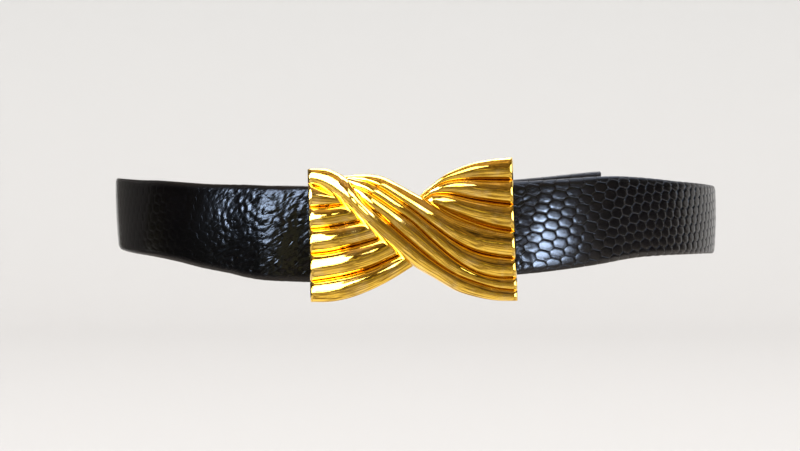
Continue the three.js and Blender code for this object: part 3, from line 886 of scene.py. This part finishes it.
def leather():
    """Black skin with a lacquer gloss, duller in the grooves and coloured darker there as painted shade,
    and a plain dark lining.
    """
    finish = Finish("black_scale_leather")
    grain = finish.add("ShaderNodeUVMap", uv_map="UVMap").outputs["UV"]
    split = finish.add("ShaderNodeSeparateXYZ", {"Vector": grain})
    edge = scale_grain_nodes(finish, split.outputs["X"], split.outputs["Y"])
    skin, crinkle = finish.attribute("skin"), finish.attribute("crinkle")
    near_edge = finish.between(edge, *GROOVE_HALF, 1.0, 0.0)
    groove = finish.math("MULTIPLY", near_edge, finish.attribute("grain"))
    turned = {"Vector": grain, "Rotation": (0.0, 0.0, FINE_CREASE_LEAN),
              "Scale": (FINE_CREASE_LONG, 1.0, 1.0)}
    drawn = finish.add("ShaderNodeMapping", turned, vector_type="TEXTURE").outputs["Vector"]
    creases = finish.speckle(drawn, 0.65, 1.0, distortion=0.7, kind="RIDGED_MULTIFRACTAL")
    pores = finish.speckle(grain, 3.2, 4.0, 0.65)
    patches = finish.speckle(grain, 0.11, 2.0)

    creased = finish.math("MULTIPLY", creases, crinkle)
    height = finish.math("SUBTRACT", finish.math("MULTIPLY", pores, PORES), groove)
    height = finish.math("SUBTRACT", height, finish.math("MULTIPLY", creased, FINE_CREASES))
    dull = finish.math("MULTIPLY_ADD", patches, PATCHES_DULL, SKIN_DULL)
    dull = finish.math("MULTIPLY_ADD", groove, GROOVE_DULL, dull)
    dull = finish.math("ADD", finish.math("MULTIPLY", dull, skin),
                       finish.math("MULTIPLY", finish.math("SUBTRACT", 1.0, skin), LINING_DULL))
    # Painted shade: the grooves between the scales are coloured darker than the skin.
    black = finish.tint(groove, SKIN_BLACK, GROOVE_SHADE_BLACK)
    colour = finish.tint(skin, LINING_BROWN, black)
    return finish.shade(Base_Color=colour, Roughness=dull, Normal=finish.bump(height, GRAIN_BUMP, 0.9),
                        Coat_Weight=0.1, Coat_Roughness=0.08, IOR=1.45)


GOLD_DEEP = (0.94, 0.61, 0.07, 1)
GOLD_PALE = (0.96, 0.70, 0.24, 1)
GOLD_DULL = (0.04, 0.12)
GOLD_WAVES = 0.0005
GOLD_HAIRS = 0.00001


def gold():
    """Polished gold-coloured plating, faintly uneven, as a hand-finished casting is."""
    finish = Finish("gold_plating")
    place = finish.object_place()
    waves = finish.speckle(place, 130.0, 2.0)
    hairs = finish.speckle(place, 1400.0, 3.0)
    cloud = finish.speckle(place, 160.0, 5.0, 0.65)
    tone = finish.tint(finish.between(cloud, 0.45, 0.75), GOLD_DEEP, GOLD_PALE)
    uneven = finish.bump(hairs, GOLD_HAIRS, 0.3, finish.bump(waves, GOLD_WAVES, 0.25))
    dull = finish.between(cloud, 0.35, 0.7, *GOLD_DULL)
    return finish.shade(Base_Color=tone, Metallic=1.0, Roughness=dull, Normal=uneven,
                        Coat_Weight=0.5, Coat_Roughness=0.04)


STEEL_DARK = (0.48, 0.46, 0.42, 1)
STEEL_PALE = (0.62, 0.60, 0.55, 1)
STEEL_DULL = (0.25, 0.42)
WIRE_LINES = 0.00002
LINE_SQUEEZE = 0.02


def drawn_wire():
    """Plain drawn steel wire, with fine lines along it."""
    finish = Finish("drawn_wire")
    squeezed = {"Vector": finish.object_place(), "Scale": (1.0, 1.0, LINE_SQUEEZE)}
    lines = finish.speckle(finish.add("ShaderNodeMapping", squeezed).outputs["Vector"], 4000.0, 3.0)
    return finish.shade(Base_Color=finish.tint(lines, STEEL_DARK, STEEL_PALE), Metallic=1.0,
                        Roughness=finish.between(lines, 0.3, 0.7, *STEEL_DULL),
                        Normal=finish.bump(lines, WIRE_LINES, 0.4))


PAPER = (0.52, 0.53, 0.54, 1)
PAPER_DULL = 0.9


def pale_paper():
    """The plain pale paper of the floor and the backdrop."""
    return Finish("pale_paper").shade(Base_Color=PAPER, Roughness=PAPER_DULL)


FLOOR_Z = -0.2
CARD_Z = FLOOR_Z + 0.001

# The card's tones, and where it changes from one to another, in metres: from the first value to the
# second in each pair.
CARD_PALE = (0.72, 0.70, 0.67, 1)
CARD_BROWN = (0.16, 0.12, 0.08, 1)
CARD_DARK = (0.08, 0.075, 0.07, 1)
BRUSHED_BEFORE = (0.05, 0.45)
BRUSHED_RIGHT = (0.7, 1.3)
DARK_LEFT = (-0.5, -0.85)
DARK_RIGHT = (0.55, 0.85)
DARK_RIGHT_BACK = (-0.75, -0.45)
DARK_UPRIGHT = (CARD_Z + 0.002, CARD_Z + 0.01)


def brushed_card():
    """A card brushed in pale and brown tones before the belt, and dark far to its sides and upright."""
    finish = Finish("brushed_card")
    place = finish.object_place()
    split = finish.add("ShaderNodeSeparateXYZ", {"Vector": place})
    x, y, z = (split.outputs[axis] for axis in "XYZ")
    strokes = finish.speckle(place, 11.0, 5.0, 0.6, 0.6)
    before = finish.between(y, *BRUSHED_BEFORE, 1.0, 0.0)
    beside = finish.math("MULTIPLY", finish.between(x, *DARK_RIGHT), finish.between(y, *DARK_RIGHT_BACK))
    beside = finish.math("MULTIPLY", beside, before)
    dark = finish.math("MAXIMUM", finish.between(x, *DARK_LEFT), beside)
    dark = finish.math("MAXIMUM", dark, finish.between(z, *DARK_UPRIGHT))
    brushed = finish.tint(finish.between(strokes, 0.38, 0.62), CARD_PALE, CARD_BROWN)
    tone = finish.tint(finish.math("MAXIMUM", before, finish.between(x, *BRUSHED_RIGHT)), PAPER, brushed)
    return finish.shade(Base_Color=finish.tint(dark, tone, CARD_DARK), Roughness=PAPER_DULL)


# The stage, the light and the camera

# The floor and the wall that it sweeps up into, in metres.
SWEEP_FROM = 1.3
SWEEP_RADIUS = 0.7
STAGE_HALF = 6
SWEEP_STEPS = 16
WALL_TOP = 1.6


def make_stage():
    """A pale floor that sweeps up into a backdrop behind the belt."""
    bm = bmesh.new()
    start = bm.verts.new((-STAGE_HALF, -STAGE_HALF, FLOOR_Z))
    turn_start = bm.verts.new((-STAGE_HALF, SWEEP_FROM, FLOOR_Z))
    bm.edges.new((start, turn_start))
    centre = (0, SWEEP_FROM, FLOOR_Z + SWEEP_RADIUS)
    swept = bmesh.ops.spin(bm, geom=[turn_start], cent=centre, axis=(1, 0, 0), angle=math.pi / 2,
                           steps=SWEEP_STEPS)
    last = [part for part in swept["geom_last"] if isinstance(part, bmesh.types.BMVert)][0]
    top = bm.verts.new(last.co + Vector((0, 0, WALL_TOP)))
    bm.edges.new((last, top))
    wide = bmesh.ops.extrude_edge_only(bm, edges=bm.edges[:])
    moved = [part for part in wide["geom"] if isinstance(part, bmesh.types.BMVert)]
    bmesh.ops.translate(bm, verts=moved, vec=(2 * STAGE_HALF, 0, 0))
    floor = solid(bm, "floor")
    floor.data.materials.append(pale_paper())
    return floor


# The corners of the card on the floor and of the one that stands at the belt's left.
CARD_END = 0.45
STANDING_X = -0.6
STANDING_FROM = 0.1
STANDING_TO = 0.94
STANDING_TOP = 0.6
CARDS = [
    [(-STAGE_HALF, -STAGE_HALF, CARD_Z), (STAGE_HALF, -STAGE_HALF, CARD_Z),
     (STAGE_HALF, CARD_END, CARD_Z), (-STAGE_HALF, CARD_END, CARD_Z)],
    [(STANDING_X, STANDING_FROM, CARD_Z), (STANDING_X, STANDING_TO, CARD_Z),
     (STANDING_X, STANDING_TO, STANDING_TOP), (STANDING_X, STANDING_FROM, STANDING_TOP)],
]


def make_card():
    """A card that lies on the floor before the belt and a dark one that stands at its left, as in a
    product studio. They are there for reflections alone."""
    bm = bmesh.new()
    for corners in CARDS:
        bm.faces.new([bm.verts.new(corner) for corner in corners])
    card = solid(bm, "card")
    card.data.materials.append(brushed_card())
    card.visible_camera = False
    card.visible_diffuse = False
    card.visible_shadow = False
    return card


# What the lamps are aimed at, in metres.
BELT_FRONT = (0, -0.1, 0)
LEFT_BEND = (-0.0465, -0.0888, 0.009)
CARD_BACK = (0, 0.8, 0)
SWEEP_MIDDLE = (0, 1.6, 0.3)


def soft_light(name, bearing, height, far, size, radiance, colour=(1, 1, 1), roll=0.0, aim=BELT_FRONT):
    """A rectangular soft light that faces its aim: its bearing, 0 at the camera's side and 90 at the
    right, its height in degrees, how far off it is, its width and height, and how bright its face is."""
    light = bpy.data.lights.new(name, "AREA")
    light.shape = "RECTANGLE"
    light.size, light.size_y = size
    light.energy = radiance * math.pi * size[0] * size[1]
    light.color = colour
    lamp = bpy.data.objects.new(name, light)
    a, e = math.radians(bearing), math.radians(height)
    way = Vector((math.sin(a) * math.cos(e), -math.cos(a) * math.cos(e), math.sin(e)))
    facing = way.to_track_quat("Z", "Y").to_matrix() @ Matrix.Rotation(math.radians(roll), 3, "Z")
    lamp.location = Vector(aim) + way * far
    lamp.rotation_euler = facing.to_euler()
    lamp.visible_camera = False
    bpy.context.scene.collection.objects.link(lamp)
    return lamp


def lit_alone(things, *lamps):
    """Has the lamps shine on these things alone, as flags beside them would."""
    receivers = bpy.data.collections.new(things[0].name + "_light")
    for thing in things:
        receivers.objects.link(thing)
    for lamp in lamps:
        lamp.light_linking.receiver_collection = receivers


# The room's tone at heights from straight down, 0, to straight up, 1.
ROOM_TONES = [
    (0.00, (0.42, 0.38, 0.20)),
    (0.48, (0.42, 0.38, 0.18)),
    (0.53, (0.38, 0.34, 0.16)),
    (0.58, (0.28, 0.20, 0.10)),
    (0.68, (0.18, 0.12, 0.07)),
    (0.85, (0.26, 0.18, 0.10)),
    (0.94, (0.55, 0.38, 0.25)),
    (1.00, (0.55, 0.38, 0.25)),
]
PLAIN_WALL = (0.74, 0.73, 0.71)

# The room's share of light beside the belt, and how it grows as a way turns to the front and up.
ROOM_SIDE_SHARE = 0.12
ROOM_FRONT = (-0.35, -0.85)
ROOM_ABOVE = (0.3, 0.6)
ROOM_UPRIGHT = 0.45


def soft_room():
    """A dim room, darker beside the belt than before and above it, with soft patches of tone.
    Past the backdrop's edges it is a plain pale wall."""
    world = bpy.data.worlds.new("room")
    bpy.context.scene.world = world
    world.use_nodes = True
    room = Nodes(world.node_tree)
    way = room.add("ShaderNodeTexCoord").outputs["Generated"]
    upright = room.add("ShaderNodeMapping", {"Vector": way, "Scale": (1.0, 1.0, ROOM_UPRIGHT)})
    split = room.add("ShaderNodeSeparateXYZ", {"Vector": way})

    def patches(scale, low, high):
        return room.between(room.speckle(upright.outputs["Vector"], scale, 5.0), 0.35, 0.65, low, high)

    height = room.math("MULTIPLY_ADD", split.outputs["Z"], 0.5, 0.5)
    ramp = room.add("ShaderNodeValToRGB", {"Fac": room.math("ADD", height, patches(3.0, -0.03, 0.03))})
    stops = ramp.color_ramp.elements
    while len(stops) < len(ROOM_TONES):
        stops.new(0.5)
    for stop, (place, tone) in zip(stops, ROOM_TONES):
        stop.position = place
        stop.color = (*tone, 1)
    front = room.between(split.outputs["Y"], *ROOM_FRONT, ROOM_SIDE_SHARE, 1.0)
    above = room.between(split.outputs["Z"], *ROOM_ABOVE)
    mottled = room.math("MULTIPLY", patches(5.0, 0.6, 1.4), patches(17.0, 0.25, 1.7))
    room_light = room.nodes["Background"]
    room.put(room_light.inputs["Color"], ramp.outputs["Color"])
    room.put(room_light.inputs["Strength"],
             room.math("MULTIPLY", room.math("MAXIMUM", front, above), mottled))

    wall = room.add("ShaderNodeBackground", {"Color": (*PLAIN_WALL, 1)})
    seen = room.add("ShaderNodeLightPath").outputs["Is Camera Ray"]
    either = room.add("ShaderNodeMixShader")
    for socket, value in zip(either.inputs, (seen, room_light.outputs[0], wall.outputs[0])):
        room.put(socket, value)
    room.put(room.nodes["World Output"].inputs["Surface"], either.outputs[0])


# The camera: how far off and how high it is, in metres, how far it looks down and to the left, in
# degrees, and the photograph's focal length and width, in pixels.
CAMERA_FAR = 0.560
CAMERA_HIGH = 0.0195
CAMERA_DOWN = 2.2
CAMERA_LEFT = 0.65
LENS_PIXELS = 1358
PHOTO_WIDE = 800
SENSOR = 36.0


def make_camera():
    """The photograph's view: level with the belt, turned a little to the left."""
    camera = bpy.data.cameras.new("camera")
    camera.sensor_width = SENSOR
    camera.lens = SENSOR * LENS_PIXELS / PHOTO_WIDE
    holder = bpy.data.objects.new("camera", camera)
    holder.location = (0, -CAMERA_FAR, CAMERA_HIGH)
    holder.rotation_euler = Euler((math.radians(90 - CAMERA_DOWN), 0, math.radians(CAMERA_LEFT)))
    bpy.context.scene.collection.objects.link(holder)
    bpy.context.scene.camera = holder


DAYLIGHT = (0.93, 0.96, 1.0)
BLUE_SKY = (0.58, 0.73, 1.0)
DEEP_BLUE = (0.05, 0.12, 1.0)


def light_belt(casting, strap):
    """The windows that the gold shows, and the sky and the lamps near the belt that the leather shows."""
    lit_alone([casting],
              soft_light("window", -58, 19, 1.1, (0.95, 0.7), 10, DAYLIGHT, roll=37),
              soft_light("window_foot", -35.5, 14, 1.1, (0.42, 0.5), 10, DAYLIGHT),
              soft_light("window_edge", -38, -6, 1.1, (0.5, 0.18), 8, DAYLIGHT, roll=30),
              soft_light("window_fade", -13, -14, 1.1, (0.35, 0.14), 0.9, DEEP_BLUE),
              soft_light("window_sill", -78, -6, 1.1, (1.55, 0.48), 9, DAYLIGHT),
              soft_light("skylight", 2, 33, 0.17, (0.06, 0.115), 6, DAYLIGHT, roll=-38),
              soft_light("side_window", 84, 4, 1.1, (0.9, 0.6), 6, DAYLIGHT))
    lit_alone([strap],
              soft_light("left_lamp", -68, 11, 0.12, (0.007, 0.024), 46, BLUE_SKY, aim=LEFT_BEND),
              soft_light("left_gleam", -57, 15, 0.7, (0.13, 0.16), 20, BLUE_SKY),
              soft_light("right_lamp", 44, -19, 0.7, (0.30, 0.14), 55, BLUE_SKY, roll=-20),
              soft_light("right_sky", 78, 57, 1.0, (1.3, 1.0), 3.0, BLUE_SKY))


def light_stage(floor, card, belt):
    """The lamps of the card and the floor, and one behind that lights the card and the belt."""
    lit_alone([card], soft_light("card_lamp", 0, 60, 1.2, (1.6, 0.6), 6.3, aim=CARD_BACK))
    lit_alone([floor],
              soft_light("floor_lamp", 0, 90, 2.5, (12, 14), 0.58),
              soft_light("sweep_lamp", 0, 35, 2.8, (9, 1.6), 3.7, aim=SWEEP_MIDDLE))
    lit_alone([*belt, card], soft_light("behind", 180, 55, 1.6, (1.4, 0.9), 6))


make_camera()
floor = make_stage()
card = make_card()
soft_room()
bpy.context.scene.view_settings.view_transform = "Standard"

casting = finished(make_plate(), "buckle_plate", gold())
strap = finished(make_strap(), "strap", leather())
wire = drawn_wire()
pins = [finished(make_pin(bar), bar["name"], wire) for bar in BARS]

light_belt(casting, strap)
light_stage(floor, card, [casting, strap, *pins])
